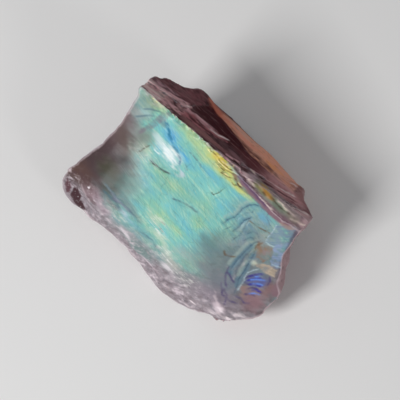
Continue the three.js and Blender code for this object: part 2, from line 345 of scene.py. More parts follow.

# %% [markdown]
# ## Cracks and other lines
# Fine cracks run into the sheen face: wavy ones along the striations, and nested arcs towards
# the right end, where a blow has sent ripples through the stone. On the cleavage face, sheets
# end in ledges, whose pink and white lines are partly a whitish frost and partly painted
# highlights. Their routes are given as places in mm along the ridge and down the face. A line
# on the cleavage face is the low step of a sheet, so it is three times as wide into the stone as
# it is along the ridge. Many lines are also cut as narrow grooves. How near every point lies to
# a line is kept, and the lines are painted later on.

# %% Lines on the sheen face: half-width and cut in mm, colour from 0 to 255, cover, routes
RIPPLES = [
    [(5.35, 3.5), (5.45, 3), (5.7, 2.6), (5.65, 2), (5.85, 1.45), (6.1, 1.15), (6.5, 1)],
    [(6.1, 3.5), (6.25, 3), (6.2, 2.5), (6.4, 2.1), (6.45, 1.9)],
    [(7.7, 3), (7.5, 3.8), (7.5, 4.6), (7.5, 5.2), (7.75, 5.7)],
    [(8, 3.3), (8.1, 4), (8.25, 4.8), (8.35, 5.6), (8.6, 6.2)],
]
SHEEN_LINES = {
    "bevel foot": (0.44, 0.02, (130, 102, 112), 1, [
        [(4.2, 0.4), (5, 0.5), (5.84, 0.62), (6.58, 0.74), (7.15, 0.8), (7.69, 0.8), (8.8, 0.62)],
    ]),
    "pale foot": (0.2, 0, (170, 140, 130), 0.6, [[(8, 1), (8.5, 0.95), (9, 0.75)]]),
    "foot in shade": (0.18, 0.02, (88, 66, 98), 0.85, [
        [(4.1, 0.3), (4.8, 0.42), (5.6, 0.55), (6.3, 0.66), (6.8, 0.74)],
    ]),
    "right rim": (0.6, 0, (132, 106, 114), 0.95, [
        [(9.5, 0.1), (9.6, 0.8), (9.75, 1.6), (10, 2.5), (10.3, 3.4), (10.6, 4.4), (10.7, 5.4)],
    ]),
    "right shade": (0.24, 0, (84, 82, 100), 0.65, [
        [(9.05, 0.5), (9.25, 1.3), (9.45, 2.1), (9.75, 3), (9.95, 3.7)],
    ]),
    "scar": (0.22, 0.012, (120, 104, 124), 0.45, [
        [(-1.6, 0.05), (-1.66, 0.7), (-1.76, 1.3), (-1.95, 2)],
        [(-1.8, 0.3), (-1.9, 1), (-2.05, 1.8), (-2.25, 2.6)], [(-1.5, 0), (-1.5, 0.4), (-1.55, 0.8)],
    ]),
    "bright teeth": (0.06, 0, (238, 224, 170), 0.8, [
        [(place, -0.05), (place + 0.15, 0.14)]
        for place in (-3, -2.7, -2.2, -1.9, -1.4, -0.7, -0.3, 0.2, 0.95, 1.5, 2, 2.5, 3, 3.5)
    ]),
    "ripple shade": (0.3, 0.02, (80, 128, 148), 0.45, RIPPLES),
    "ripple light": (0.2, 0, (164, 184, 176), 0.45, [
        [(5.1, 3.3), (5.2, 2.9), (5.5, 2.5), (5.45, 1.9), (5.6, 1.4), (5.9, 1)],
        [(6.3, 3.3), (6.4, 2.8), (6.5, 2.3)], [(7.3, 3.2), (7.25, 3.9), (7.2, 4.7), (7.25, 5.3)],
        [(7.95, 4.2), (8.05, 4.9), (8.15, 5.5)],
    ]),
    "ripple cracks": (0.08, 0.01, (70, 92, 112), 0.5, [
        [*RIPPLES[0], (6.9, 1)], RIPPLES[1], [*RIPPLES[3], (8.7, 6.6)],
        [(5.6, 3.8), (5.9, 3.2), (5.85, 2.5), (6.05, 1.95), (6.3, 1.7), (6.25, 1.3)],
        [(6.45, 3.9), (6.6, 3.3), (6.5, 2.6), (6.45, 2.2)], [(7, 0.95), (7.2, 1.3), (7.5, 1.5), (7.9, 1.6)],
        [(7.9, 2.7), (7.6, 3.1), (7.5, 3.8), (7.5, 4.6), (7.5, 5.2), (7.75, 5.7), (8.1, 5.9)],
        [(7.75, 3.4), (7.7, 4.2), (7.8, 5), (8, 5.5)], [(6.9, 3), (7.1, 2.6), (7.4, 2.55), (7.7, 2.75)],
        [(6.95, 3.5), (7.2, 3), (7.5, 2.95)],
    ]),
    "purple cracks": (0.11, 0.012, (82, 74, 112), 0.75, [
        [(7.35, 5.3), (7.6, 6), (8.1, 6.5)], [(7.46, 5.61), (7.96, 5.82), (8.3, 5.9)],
        [(7.6, 6.4), (8.17, 7), (8.75, 7.06), (9.26, 6.93)], [(7.9, 6.6), (8.4, 6.85), (8.7, 7.5)],
        [(8.8, 6.6), (9.2, 6.5), (9.5, 6.65), (9.9, 6.4)], [(8.62, 5.52), (9.09, 5.44)],
        [(8.55, 5.28), (8.78, 4.89), (9.04, 4.61)], [(9.09, 5.79), (9.33, 5.48), (9.7, 5.33)],
        [(9.2, 6.15), (9.5, 5.9), (9.8, 5.85)], [(9.7, 4.2), (9.9, 4.5), (9.95, 4.8)],
    ]),
    "indigo cracks": (0.13, 0.01, (62, 62, 150), 0.8, [
        [(8.75, 5.35), (9, 5), (9.4, 4.6)], [(9, 5.45), (9.3, 5.2), (9.7, 5.1)],
        [(8.7, 5.05), (8.95, 4.65), (9.3, 4.35)], [(9.35, 5.65), (9.6, 5.45), (9.95, 5.4)],
    ]),
    "bright blue cracks": (0.09, 0.006, (104, 142, 220), 0.85, [
        [(8.87, 5.16), (9.23, 4.84), (9.64, 4.59)], [(9.16, 5.27), (9.41, 5.07), (9.73, 4.95)],
        [(8.95, 4.85), (9.2, 4.6)], [(9.4, 5.95), (9.65, 5.7), (9.96, 5.6)],
    ]),
    "wavy cracks": (0.14, 0.012, (44, 118, 150), 0.75, [
        [(-1.45, 0.85), (-1, 0.98), (-0.62, 1.4), (-0.1, 1.68), (0.45, 1.88), (0.8, 2.15), (1.05, 2.5)],
        [(-1.4, 0.8), (-1.1, 0.85), (-0.75, 1.2), (-0.3, 1.5)],
    ]),
    "blue-grey cracks": (0.12, 0.008, (84, 112, 124), 0.6, [
        [(-3, 1.1), (-2.6, 0.75), (-2.1, 0.5), (-1.8, 0.4)],
        [(-3.1, 1.9), (-2.75, 1.5), (-2.4, 1.1), (-2.1, 0.95)], [(0.9, 1.3), (1.7, 1.4), (2.2, 1.6)],
        [(1.2, 2.1), (1.6, 2.4)], [(-0.7, 3.4), (0.1, 3.36), (0.9, 3.26)],
        [(1.9, 4.3), (2.9, 4), (3.8, 3.95)], [(-2, 6.5), (-1, 6.6), (0.6, 6.7), (1.6, 6.95)],
        [(-1.7, 6.9), (-0.6, 6.95), (0.4, 7.1)], [(1.6, 7.4), (2.6, 7.3), (3.5, 7.5)],
    ]),
    "dark cracks": (0.08, 0.012, (66, 70, 58), 0.6, [
        [(-1.5, 3.5), (-1.4, 3.1), (-1.2, 2.65)], [(-0.5, 3.42), (0.1, 3.4), (0.5, 3.34), (0.95, 3.24)],
        [(0.3, 3.36), (0.6, 3.32), (0.9, 3.25)],
        [(3.55, 2.3), (3.6, 2.45), (3.75, 2.45), (3.9, 2.2), (3.98, 1.9), (4, 1.6)],
        [(2.2, 0.35), (2.6, 0.52), (3, 0.58), (3.6, 0.56), (4, 0.42)],
        [(2.8, 0.8), (3.2, 0.84), (3.6, 0.78)], [(4.1, 1), (4.3, 1.05), (4.5, 0.9)],
        [(2.3, 5.9), (2.7, 5.9)], [(2.5, 6.3), (2.9, 6.35)],
    ]),
    "gold cracks": (0.08, 0.01, (84, 60, 30), 0.8, [
        [(1.2, 0.12), (1.7, 0.2), (2, 0.3)], [(2, 0.2), (2.4, 0.3), (2.9, 0.42), (3.4, 0.4), (3.9, 0.3)],
        [(2.5, 0.62), (2.9, 0.72), (3.4, 0.7)], [(3.2, 0.95), (3.6, 0.9), (4, 0.75)],
        [(4.1, 0.62), (4.5, 0.8), (4.9, 0.86)],
    ]),
    "gold edges": (0.06, 0, (252, 240, 168), 0.8, [
        [(2.1, 0.3), (2.5, 0.42), (3, 0.52), (3.5, 0.48)], [(2.6, 0.7), (3, 0.8)],
        [(3.4, 0.86), (3.8, 0.8)], [(1.5, 0.28), (1.9, 0.38)], [(4.4, 0.7), (4.8, 0.75)],
    ]),
    "bevel streaks": (0.07, 0.01, (84, 56, 50), 0.75, [
        [(4.9, 0.05), (5.6, 0.15), (6.3, 0.25)], [(6.5, 0.15), (7.3, 0.28), (8.2, 0.28)],
        [(5.2, 0.3), (5.9, 0.42)], [(4.3, 0.1), (4.6, 0.2), (4.8, 0.35)],
    ]),
    # Painted highlights along the bevel.
    "painted bevel highlights": (0.07, 0, (244, 222, 210), 0.75, [
        [(4.4, 0), (4.9, 0.15), (5.4, 0.25)], [(6.9, 0.05), (7.7, 0.16), (8.5, 0.18)],
        [(8.3, 0.4), (9, 0.3), (9.4, 0.2)], [(5.9, 0.5), (6.6, 0.6), (7.2, 0.64)],
    ]),
    "rusty cracks": (0.09, 0.01, (104, 84, 62), 0.7, [
        [(6.45, 2.25), (7.1, 2.2), (7.6, 2.08), (8.1, 1.98)],
        [(6.45, 4.65), (6.7, 4.85), (7, 4.75), (7.3, 4.5)], [(8, 2.7), (7.8, 3.2), (8, 3.6)],
    ]),
    "bright edges": (0.07, 0.006, (186, 210, 216), 0.5, [
        [(7.93, 1.2), (8, 1.9), (8.06, 2.62)], [(8.06, 2.62), (8.4, 2.6), (8.7, 2.48)],
        [(8.66, 5.66), (8.55, 5.23), (8.49, 4.85), (8.65, 4.53), (8.9, 4.2)],
        [(8.75, 6.19), (8.68, 5.9), (8.62, 5.52)], [(9.28, 3.5), (9.9, 3.32)],
    ]),
    # Painted highlight streaks: most below the ridge, two low on the sheen face.
    "painted highlight streaks": (0.07, 0, (240, 246, 244), 0.6, [
        [(-0.75, 2), (-0.2, 2.1), (0.35, 2.25)], [(-0.5, 2.2), (0.1, 2.3), (0.8, 2.5)],
        [(-0.3, 2.42), (0.2, 2.5), (0.6, 2.62)], [(0.6, 2.75), (1.1, 2.85)], [(-0.9, 2.7), (-0.4, 2.72)],
        [(-0.1, 1.95), (0.5, 2.05)], [(2.3, 6.5), (2.9, 6.6)], [(4.1, 7.6), (4.6, 7.7)],
    ]),
}

# %% Lines on the cleavage face, with the second number the depth behind the ridge
CLEAVAGE_LINES = {
    "dark ledges": (0.07, 0.03, (70, 30, 38), 0.8, [
        [(-0.6, 1.5), (0.4, 1.6), (1.4, 1.75), (2.4, 2.3)],
        [(5.44, 1.64), (6.18, 1.92), (6.92, 2.21), (7.64, 2.56), (8.08, 2.71)],
        [(2.4, 0.45), (3.2, 0.5), (4.1, 0.75)],
        [(0.03, 4.8), (0.96, 4.7), (1.93, 4.5), (2.77, 4.44), (3.61, 4.35), (4.4, 3.95), (5.05, 3.45)],
        [(7.6, 0.75), (8.3, 1.3), (8.9, 1.7)], [(7.3, 1.15), (8, 1.45), (8.7, 1.6)],
        [(7.6, 1.7), (8.2, 1.9), (8.9, 2.1)],
    ]),
    # Pink lines where sheets end: partly whitish frost on the ledges, partly painted highlights.
    "pink ledge frost and highlights": (0.07, 0, (230, 176, 182), 0.85, [
        [(-3.98, 0.7), (-3.56, 0.92), (-2.99, 1.25), (-2.43, 1.57), (-1.82, 2.01), (-1, 2.5)],
        [(-3.73, 0.38), (-3.19, 0.51), (-2.66, 0.65), (-2.07, 0.9), (-1.47, 1.09)],
        [(-1.12, 1.59), (-0.78, 1.84), (-0.36, 2.07), (0.13, 2.08), (0.62, 2.1), (1.56, 2.27)],
        [(3, 0.85), (3.47, 1.05), (3.83, 1.23), (4.53, 1.65), (5.32, 2.06), (5.97, 2.36)],
        [(2.52, 0.11), (3.09, 0.1), (3.58, 0.12), (4.03, 0.28), (4.34, 0.34)], [(2.7, 0.6), (3.3, 0.75)],
    ]),
    # White lines where sheets end: partly whitish frost on the ledges, partly painted highlights.
    "white ledge frost and highlights": (0.05, 0, (250, 226, 224), 0.9, [
        [(0.9, 2.14), (1.56, 2.27), (2.3, 2.81)],
        [(5.6, 2.2), (5.97, 2.36), (6.62, 2.66), (7.18, 2.99), (7.74, 3.31)],
        [(6.85, 4.68), (7.07, 4.76), (7.34, 4.7)],
        [(5.3, 0.7), (5.86, 0.76), (6.57, 0.86), (7.28, 0.95), (7.87, 1.21), (8.58, 1.56), (9.17, 1.82)],
        [(7.14, 0.6), (7.95, 0.93), (8.6, 2.08), (9, 2.12)], [(8.1, 1.6), (8.6, 1.75), (9.1, 1.9)],
        [(-1.15, 1.9), (-0.9, 2.1)], [(-3.1, 0.3), (-2.5, 0.45)], [(4.5, 0.6), (4.7, 0.2)],
    ]),
}

# %% Cut the lines
LEDGE_STRETCH = 3
FAR = 99.0  # mm, further than any point of the stone is from a line


def near_to(route, width, across, over, wander):
    """1 on a route over a face, 0 past its half-width, less towards its ends."""
    nearest = np.full(len(along), FAR)
    travelled = np.zeros(len(along))
    shift = 0.035 * np.sin(9 * across + 5 * over) + 0.02 * np.sin(23 * over - 11 * across)
    places = np.stack((across + shift * wander, over - shift * wander), axis=1)
    legs = np.diff(np.array(route), axis=0)
    lengths = np.linalg.norm(legs, axis=1)
    for start, leg, before in zip(np.array(route), legs, np.cumsum(lengths) - lengths):
        share = np.clip((places - start) @ leg / (leg @ leg), 0, 1)
        away = np.linalg.norm(places - start - share[:, None] * leg, axis=1)
        travelled = np.where(away < nearest, before + share * math.hypot(*leg), travelled)
        nearest = np.minimum(nearest, away)
    progress = travelled / lengths.sum()
    taper = ramp(progress, -0.05, 0.12) * ramp(progress, 1.05, 0.86)
    return ramp(nearest, width, 0) * taper


def cut_lines(lines, face, over, squeeze=1):
    """Cuts grooves along the routes, and gives how near each point lies to each kind of line."""
    weights = {}
    for name, (width, cut, _, _, routes) in lines.items():
        squeezed = [[(place, far / squeeze) for place, far in route] for route in routes]
        near = [near_to(route, width, along, over / squeeze, 0.4 / squeeze) for route in squeezed]
        weights[name] = np.max(near, axis=0) * face
        if cut:
            sink(name, weights[name], cut)
        print(name, "cover", int((weights[name] > 0.5).sum()), "points")
    return weights


near_lines = cut_lines(SHEEN_LINES, np.maximum(sheen_face, bevel), down)
near_lines.update(cut_lines(CLEAVAGE_LINES, cleavage_face, depth, LEDGE_STRETCH))

# %% [markdown]
# ## Painted edge highlights and hollow shade
# The material paints highlights on the edges and corners of broken feldspar, partly a whitish
# wear, and paints shade into its hollows. A point stands proud when it lies further out than its
# neighbours do on average, and that is kept for the material as well.

# %% Measure how proud each point stands
PROUD_SPREAD = 6
PROUD_FULL = 0.02 * MM


def neighbour_mean(values):
    """The mean of each point's neighbours."""
    total = np.zeros_like(values)
    for one, other in ((0, 1), (1, 0)):
        np.add.at(total, ends[:, one], values[ends[:, other]])
    return total / counts[:, None]


ends = np.empty(len(stone.data.edges) * 2, np.int32)
stone.data.edges.foreach_get("vertices", ends)
ends = ends.reshape(-1, 2)
counts = np.bincount(ends.ravel(), minlength=len(stone.data.vertices))
points = read_points("co")
spread = points
for _ in range(PROUD_SPREAD):
    spread = neighbour_mean(spread)
proud = ((points - spread) * read_points("normal")).sum(axis=1) / PROUD_FULL
keep("proud", np.clip(proud, 0, 1))
keep("hollow", np.clip(-proud, 0, 1))
print("proud points:", int((proud > 0.5).sum()), "hollow points:", int((proud < -0.5).sum()))
stone.vertex_groups.clear()
bpy.ops.object.shade_smooth()

# %% [markdown]
# ## Painted patches
# The stone's colours lie in patches, and most are ovals. An oval is five numbers: its place
# along the ridge and away from it, its half-lengths in those two directions, all in mm, and its
# turn in degrees. The map of a face is bent a little by noise first, so that no oval has a clean
# edge. All of them end up as a few numbers for each point of the stone, and the material does
# the rest.

# %% Ovals
def wobble(size, seed):
    """Noise around 0 for each point, whose grain has a size in mm along each crystal axis."""
    places = np.stack((along, down, depth), axis=1) / size + seed
    return np.array([noise.fractal(place, 1.0, 2.0, 3) for place in places])


sheen_map = (along + 0.3 * wobble((0.9, 0.5, 0.5), 3), down + 0.2 * wobble((1.4, 0.4, 0.4), 7))
bevel_map = (sheen_map[0], sheen_map[1] - BEVEL_SLOPE * depth)
cleavage_map = (
    along + 0.35 * wobble((1.2, 0.6, 0.4), 11),
    depth + 0.15 * wobble((1.8, 0.5, 0.4), 5),
)


def spot(face_map, oval, soft=1.0):
    """1 in the middle of an oval on the map of a face, 0 outside it."""
    place, far, half_length, half_width, turn = oval
    across, over = face_map[0] - place, face_map[1] - far
    cosine, sine = math.cos(math.radians(turn)), math.sin(math.radians(turn))
    long_way = (across * cosine + over * sine) / half_length
    short_way = (over * cosine - across * sine) / half_width
    return ramp(np.hypot(long_way, short_way), 1, 1 - soft)


# %% [markdown]
# The sheen comes from layers inside the stone, which act on light like a film of oil: the
# thicker they are, the further the colour runs from blue through turquoise and green to gold.
# So the sheen is painted as a thickness, and the material turns it into colour.

# %% Where the film is thicker or thinner: the five numbers of an oval, change
FILM_SPOTS = [
    (-2.6, 0.25, 1.8, 0.9, 4, 0.2),
    (0.2, 0.1, 2.6, 0.8, 4, 0.18),
    (2.2, 0.1, 1.3, 0.9, 8, 0.22),
    (3.3, 0.55, 1.5, 1, 22, 0.4),
    (4.9, 1.05, 1.6, 0.42, 4, 0.3),
    (1.6, 0.85, 2, 0.8, 10, 0.18),
    (-2.6, 1.2, 0.9, 0.9, 0, 0.04),
    (-0.8, 1.15, 1.2, 0.7, 25, -0.2),
    (0.6, 1.75, 1.7, 0.42, 14, -0.14),
    (2.6, 1.5, 1.5, 0.4, 6, -0.1),
    (1.2, 3.6, 2.4, 0.6, 6, 0.14),
    (-1.2, 3, 1, 0.4, 6, 0.12),
    (3.6, 3.5, 1.7, 0.5, 6, 0.1),
    (4.2, 4.5, 0.9, 0.8, 30, 0.12),
    (1.3, 5.6, 1.9, 0.7, 8, 0.12),
    (3.2, 5.6, 1.6, 0.6, 5, 0.1),
    (2.4, 6.8, 1.8, 0.6, 5, 0.12),
    (4.3, 2.6, 1.4, 0.6, 5, -0.04),
    (0.2, 4.7, 1.5, 0.5, 6, -0.04),
    (7.2, 1.5, 1, 0.6, 30, -0.14),
    (6.9, 3.4, 0.8, 1.2, 0, -0.1),
    (6.2, 2.2, 1, 1.2, 0, -0.06),
    (9.3, 5, 1.3, 1.2, 0, -0.3),
    (8.1, 6, 1.4, 1.4, 30, -0.2),
]
film_shift = sum(change * spot(sheen_map, oval) for *oval, change in FILM_SPOTS)
keep("film_shift", film_shift)
print("film between", round(film_shift.min(), 2), "and", round(film_shift.max(), 2))

# %% Where the sheen fades: oval, loss
# It floods the face below the ridge and thins out into plain cloudy stone at the left end, the
# lower rim and the lower right corner.
SHEEN_FADES = [
    (-4.7, 5.8, 6, 4.4, -2, 1),
    (-3.8, 2.8, 2.3, 1.9, 0, 0.85),
    (10.2, 6.8, 2.2, 1.6, 0, 0.9),
    (-3.2, 8.4, 4.4, 2.2, 14, 0.95),
    (0.2, 6.6, 1.7, 0.5, 6, 0.5),
    (3.6, 10.3, 7, 2.8, 3, 0.95),
    (-3.2, 0.9, 1.3, 2.2, 0, 0.5),
    (9, 8.2, 5, 3.2, -22, 0.9),
    (8.2, 4.4, 3.4, 3.8, 0, 0.65),
    (6.2, 6, 2.2, 2, 20, 0.4),
    (6.8, 2, 2.6, 1.6, 0, 0.35),
    (10.3, 4.2, 1.4, 3.4, -8, 0.9),
]
sheen_left = ramp(sheen_map[1], 9.2, 6.4) * sheen_face
for *oval, loss in SHEEN_FADES:
    sheen_left *= 1 - loss * spot(sheen_map, oval, soft=0.65)
keep("sheen_left", sheen_left)
print("mean strength of the sheen:", round(sheen_left.mean(), 3))

# %% Patches of plain colour, each laid over the ones before it: oval, colour, cover
SHEEN_PATCHES = [
    (-1.7, 5.4, 2.1, 2.4, 0, (78, 80, 78), 0.62),
    (-4.6, 5.8, 4, 4.5, 0, (72, 56, 58), 1),
    (-4.4, 3.8, 2.9, 1.9, 0, (86, 68, 70), 0.85),
    (-2.2, 5.7, 1.3, 0.9, 12, (72, 74, 56), 0.6),
    (-1.4, 6.4, 1.2, 0.8, 10, (76, 106, 102), 0.5),
    (-0.4, 5.9, 1.5, 1.4, 0, (86, 130, 124), 0.45),
    (-3.9, 2.6, 1.4, 2.2, 0, (116, 100, 102), 0.8),
    (-2.6, 3.6, 1.8, 1, 10, (100, 86, 82), 0.65),
    (-3, 1.6, 0.9, 0.6, 0, (166, 182, 180), 0.45),
    (-2.3, 2.6, 1.2, 0.8, 0, (140, 138, 136), 0.6),
    (-1.6, 2.7, 1, 1.5, 10, (118, 130, 122), 0.65),
    (-2.7, 0.1, 0.7, 0.25, 4, (200, 208, 178), 0.7),
    (-2.7, 1.1, 0.6, 0.5, 0, (168, 200, 200), 0.5),
    (3.2, 3.9, 1.2, 0.6, 6, (160, 214, 196), 0.4),
    (0.4, 3.1, 0.9, 0.3, 8, (160, 210, 196), 0.4),
    (-1.5, 1, 0.6, 0.5, 0, (102, 130, 136), 0.6),
    (4, 0.58, 0.6, 0.3, 10, (136, 108, 84), 0.75),
    (4.9, 0.85, 1.1, 0.24, 4, (122, 118, 88), 0.6),
    (9.3, 0.9, 0.9, 0.6, 0, (118, 104, 110), 0.6),
    (6.4, 5.4, 2.6, 2, 10, (104, 122, 124), 0.55),
    (8.4, 4.8, 2.2, 2.6, 0, (112, 116, 124), 0.55),
    (7, 1.5, 0.7, 0.4, 20, (104, 168, 190), 0.5),
    (7.2, 2.9, 0.9, 0.5, 40, (104, 152, 158), 0.5),
    (5.4, 4.3, 0.9, 0.8, 0, (112, 122, 100), 0.28),
    (5.3, 5, 0.9, 0.6, 0, (90, 126, 124), 0.34),
    (8.8, 0.55, 0.8, 0.5, 0, (156, 136, 140), 0.8),
    (8.3, 4.1, 0.4, 0.3, 30, (192, 200, 182), 0.8),
    (7.85, 3.3, 0.3, 0.6, 10, (160, 176, 156), 0.6),
    (9.3, 4.95, 1, 0.6, -42, (92, 96, 150), 0.7),
    (9, 6, 0.5, 0.5, 0, (150, 124, 118), 0.75),
    (9.9, 6.2, 1.1, 1.2, 0, (144, 114, 120), 0.8),
    (10.2, 5, 0.6, 0.8, 0, (134, 104, 104), 0.7),
    # Painted highlight below the ridge: pale halo, white core, paler ends, cut back above by a blue oval.
    (0.2, 2.3, 1.5, 0.75, 12, (208, 226, 230), 0.6),
    (0.05, 2.3, 0.95, 0.36, 14, (240, 248, 248), 0.42),
    (1.4, 2.85, 0.5, 0.35, 25, (200, 204, 214), 0.6),
    (0.3, 1.8, 1, 0.28, 14, (124, 192, 212), 0.6),
    (-0.9, 2, 0.8, 0.34, 14, (204, 222, 224), 0.5),
    (-1, 3.2, 1.3, 0.6, 8, (142, 158, 142), 0.4),
    (7.2, 6.6, 2.4, 1.2, 8, (124, 124, 132), 0.5),
    (7.8, 7.6, 2.8, 1.2, -14, (136, 124, 136), 0.6),
    (5.6, 7.9, 2.4, 1, 4, (138, 130, 136), 0.6),
    # Pale cream streaks low on the sheen face, partly milky stone and partly painted highlights.
    (2, 6.1, 1.2, 0.4, 6, (200, 206, 176), 0.45),
    (2.9, 6.7, 1.3, 0.45, 6, (196, 202, 186), 0.5),
    (4.3, 7.6, 1.6, 0.5, 8, (184, 184, 176), 0.5),
    (3.9, 7.1, 1.2, 0.4, 8, (206, 208, 196), 0.5),
    (4.6, 6.6, 1.4, 0.6, 6, (164, 172, 166), 0.5),
    (0.3, 7.2, 1, 0.36, 8, (176, 196, 210), 0.55),
    (-0.6, 6.7, 1.4, 0.2, 5, (104, 102, 130), 0.5),
    (-3.9, 7.2, 2, 1.3, 10, (88, 66, 62), 0.95),
    # A painted highlight on the left tip, dimmed by the darker ovals that follow.
    (-2.2, 7.7, 1.1, 0.7, 10, (168, 144, 152), 0.6),
    (-2.8, 7.4, 0.9, 0.6, 10, (88, 68, 68), 0.75),
    (-1.9, 8.1, 0.9, 0.4, 10, (104, 84, 88), 0.8),
    (-1.6, 6.35, 1.1, 0.8, 8, (74, 74, 68), 0.65),
    (-0.7, 7.2, 0.9, 0.4, 8, (106, 108, 112), 0.6),
    (-0.4, 6.3, 1, 0.35, 6, (84, 120, 124), 0.55),
    (-0.3, 5, 0.9, 0.6, 0, (108, 144, 136), 0.45),
    # Two painted glints on the rim.
    (-2.6, 7.5, 0.14, 0.1, 0, (255, 246, 250), 0.9),
    (-1.7, 7.9, 0.12, 0.08, 0, (240, 230, 236), 0.8),
    (-0.9, 8, 1.4, 0.6, 14, (166, 148, 158), 0.7),
    (1.2, 8.1, 1.1, 0.5, 10, (160, 152, 158), 0.5),
    (2.6, 8.6, 1.8, 0.5, 8, (148, 142, 150), 0.7),
    (1.6, 8.5, 2.2, 0.5, 3, (134, 144, 144), 0.5),
    (2.5, 8.5, 1.7, 0.6, 3, (112, 136, 134), 0.75),
    # Painted glints and highlights along the lower rim, and a painted highlight along its bottom edge.
    (4.4, 8.2, 0.9, 0.3, 6, (222, 216, 220), 0.7),
    (0.9, 8.3, 0.7, 0.3, 6, (222, 212, 218), 0.7),
    (8.5, 7.85, 0.8, 0.5, -10, (214, 196, 204), 0.65),
    (8.65, 7.9, 0.4, 0.3, -10, (248, 236, 240), 0.7),
    (7.1, 9, 0.5, 0.2, 0, (244, 230, 234), 0.7),
    (9.9, 7.5, 0.5, 0.2, -30, (250, 236, 238), 0.6),
    (9.4, 8.1, 0.4, 0.2, -20, (250, 236, 238), 0.7),
    (8.4, 8.7, 0.4, 0.16, -14, (244, 230, 234), 0.6),
    (3.6, 8.9, 1.6, 0.12, 4, (222, 204, 212), 0.6),
]
# Cleavage face: dark maroon is painted reflection; tan and orange at the back is painted light shining
# through.
CLEAVAGE_REFLECTION_AND_BACKLIGHT_PATCHES = [
    (1.8, 3.4, 4.4, 2, 3, (70, 14, 22), 1),
    (1.6, 4.7, 2.6, 0.6, 3, (100, 34, 34), 0.7),
    (4.6, 2.6, 2.2, 1.2, 0, (106, 50, 56), 0.8),
    (0.9, 0.7, 3.4, 0.8, 6, (156, 106, 106), 0.8),
    (3.3, 1.5, 1.2, 0.5, 10, (150, 108, 114), 0.7),
    (7, 2.9, 2.6, 1.7, 8, (204, 150, 152), 0.95),
    (4.9, 6.2, 5.4, 2.1, -3, (250, 178, 150), 1),
    (5.6, 5, 1.1, 0.9, 0, (255, 168, 104), 1),
    (6.6, 4.2, 1, 0.8, 0, (230, 150, 120), 0.8),
    (3.2, 5.6, 1.4, 0.5, 0, (250, 156, 138), 0.6),
    (2.6, 6.6, 2.4, 0.6, 0, (220, 190, 180), 0.6),
    (0.9, 5.9, 1.8, 1, 5, (210, 116, 94), 0.85),
    (5.35, 3.7, 0.4, 0.3, 0, (110, 60, 40), 0.8),
    (7.9, 4.3, 1, 1, 30, (170, 126, 124), 0.8),
    (-3.9, 0.9, 0.8, 0.9, 0, (214, 184, 184), 0.8),
    (-3.2, 0.7, 1.1, 0.6, 0, (255, 236, 232), 0.7),
    (4.7, 0.5, 0.9, 0.8, 10, (255, 216, 220), 0.95),
    (8.6, 1.6, 1.4, 1.6, 0, (214, 174, 176), 0.8),
]
BEVEL_PATCHES = [
    (6.6, 0.1, 2.6, 0.6, 4, (142, 158, 138), 0.8),
    (6.1, -0.05, 1, 0.34, 6, (204, 150, 76), 1),
    (5.6, 0.15, 0.7, 0.2, 10, (176, 172, 112), 0.7),
    (7.6, 0.05, 0.8, 0.26, 8, (180, 198, 170), 0.8),
    (8.5, 0.1, 0.8, 0.5, 0, (150, 138, 126), 0.7),
    (9.4, -0.1, 0.8, 0.8, 0, (190, 160, 162), 0.8),
    (4.75, -0.1, 0.5, 0.55, 0, (196, 168, 176), 0.85),
    (3.4, 0.15, 0.7, 0.3, 0, (210, 196, 96), 0.8),
]

# %% Ovals of milky flecks, partly painted highlight streaks below the ridge and low on the face
MILKY_AND_HIGHLIGHT_SPOTS = [
    (0.2, 2.35, 1.9, 0.9, 14),
    (2.1, 6.2, 1.9, 1, 6),
    (3.7, 7.2, 2.2, 1, 8),
    (5.6, 7.9, 2, 0.8, 4),
    (-1, 3.4, 1.8, 0.8, 8),
    (0.2, 7.4, 1.6, 0.6, 8),
]

# %% Panels: outlines in mm, with their corners in order, colour, cover
# Near the right end the sheen face has broken along straight lines, and so has the cleavage
# face where a sheet ends. That leaves flat panels with sharp edges, drawn by their corners.
SHEEN_PANELS = [
    ([(7.91, 1.2), (8.3, 0.95), (9, 0.6), (9.25, 1.75), (8.76, 2.46), (8.05, 2.64)], (126, 148, 160), 0.85),
    ([(8.6, 2.4), (9.25, 1.7), (9.5, 2.5), (9.8, 3.4), (9.26, 3.6), (9, 3.1)], (138, 156, 184), 0.85),
    ([(7.71, 2.85), (8.75, 2.6), (9, 3.12), (8.82, 3.72), (8.23, 3.7)], (142, 118, 98), 0.75),
    ([(8.3, 3), (8.75, 2.95), (8.7, 3.3), (8.4, 3.4)], (148, 136, 142), 0.6),
    ([(8.5, 4.1), (8.95, 3.72), (9.84, 3.5), (9.97, 4.05), (9.25, 4.25)], (186, 170, 150), 0.85),
]
CLEAR_PANELS = SHEEN_PANELS[:2]
